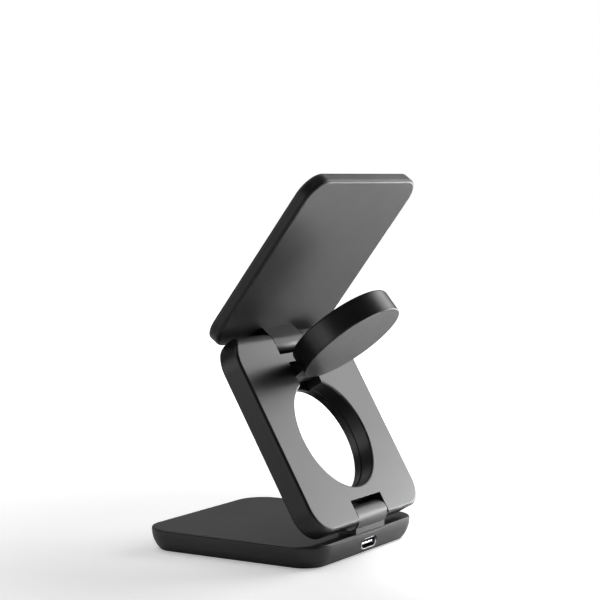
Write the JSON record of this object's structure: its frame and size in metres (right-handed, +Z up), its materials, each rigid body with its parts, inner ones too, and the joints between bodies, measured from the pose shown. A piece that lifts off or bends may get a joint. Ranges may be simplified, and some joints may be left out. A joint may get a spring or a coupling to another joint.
{
  "type": "three in one wireless charger",
  "caption": "Folding wireless charging stand with a square base, a leaning arm with a round hole, a tilting phone pad and a flip-out watch puck.",
  "frame": {"origin": "centre of the base, on the surface that it stands on", "axes": "+Z up, +Y to the rear, where the power inlet is, and +X along all the hinge pins"},
  "size_m": [0.0646, 0.0693, 0.1147],
  "materials": {
    "base_plastic": "satin black, moulded",
    "base_top_plastic": "satin black, moulded",
    "arm_plastic": "satin black, moulded",
    "pad_plastic": "satin black, moulded",
    "pad_face_plastic": "matt black, soft to the touch",
    "puck_plastic": "satin black, moulded",
    "puck_face_plastic": "matt black, dished",
    "foot_rubber": "matt dark grey",
    "connector_steel": "bright, plated",
    "connector_plastic": "black, moulded",
    "hardware_steel": "turned",
    "plated_magnet": "nickel plated",
    "backing_steel": "rolled sheet",
    "copper_wire": "enamelled copper windings",
    "ferrite_sheet": "dull dark grey ceramic",
    "board_laminate": "green solder mask",
    "cable_film": "amber film"
  },
  "bodies": {
    "base": {"base_lower_shell": "base_plastic", "base_top_cover": "base_top_plastic", "base_foot_pad": "foot_rubber", "base_screws": "hardware_steel", "base_hinge_knuckle": "base_plastic", "usb_c_shell": "connector_steel", "usb_c_tongue": "connector_plastic", "base_circuit_board": "board_laminate", "earbud_coil": "copper_wire", "earbud_ferrite": "ferrite_sheet"},
    "arm": {"arm_housing": "arm_plastic", "arm_front_cover": "arm_plastic", "arm_ribbon_cable": "cable_film", "lower_hinge_pin": "hardware_steel", "lower_hinge_washers": "hardware_steel", "upper_hinge_pin": "hardware_steel", "upper_hinge_washers": "hardware_steel", "puck_hinge_pin": "hardware_steel"},
    "pad": {"pad_back_shell": "pad_plastic", "pad_front_cover": "pad_face_plastic", "phone_magnets": "plated_magnet", "magnet_backing_ring": "backing_steel", "phone_coil": "copper_wire", "phone_ferrite": "ferrite_sheet", "pad_circuit_board": "board_laminate"},
    "puck": {"puck_housing": "puck_plastic", "puck_bottom_cover": "puck_plastic", "puck_charging_face": "puck_face_plastic", "watch_coil": "copper_wire", "watch_ferrite": "ferrite_sheet", "watch_magnet": "plated_magnet", "puck_circuit_board": "board_laminate"}
  },
  "joints": [
    {"name": "arm_fold", "type": "hinge", "parent": "base", "child": "arm", "pos_m": [0, 0.02877, 0.0115], "axis": [1, 0, 0], "range_deg": [-30, 59.9]},
    {"name": "pad_fold", "type": "hinge", "parent": "arm", "child": "pad", "pos_m": [0, -0.00062, 0.0622], "axis": [1, 0, 0], "range_deg": [-112.9, 12]},
    {"name": "puck_fold", "type": "hinge", "parent": "arm", "child": "puck", "pos_m": [0, 0.0054, 0.05321], "axis": [1, 0, 0], "range_deg": [-99.8, 10.7]}
  ],
  "couplings": [
    {"joint": "puck_fold", "follows": "pad_fold", "ratio": 0.88308}
  ]
}
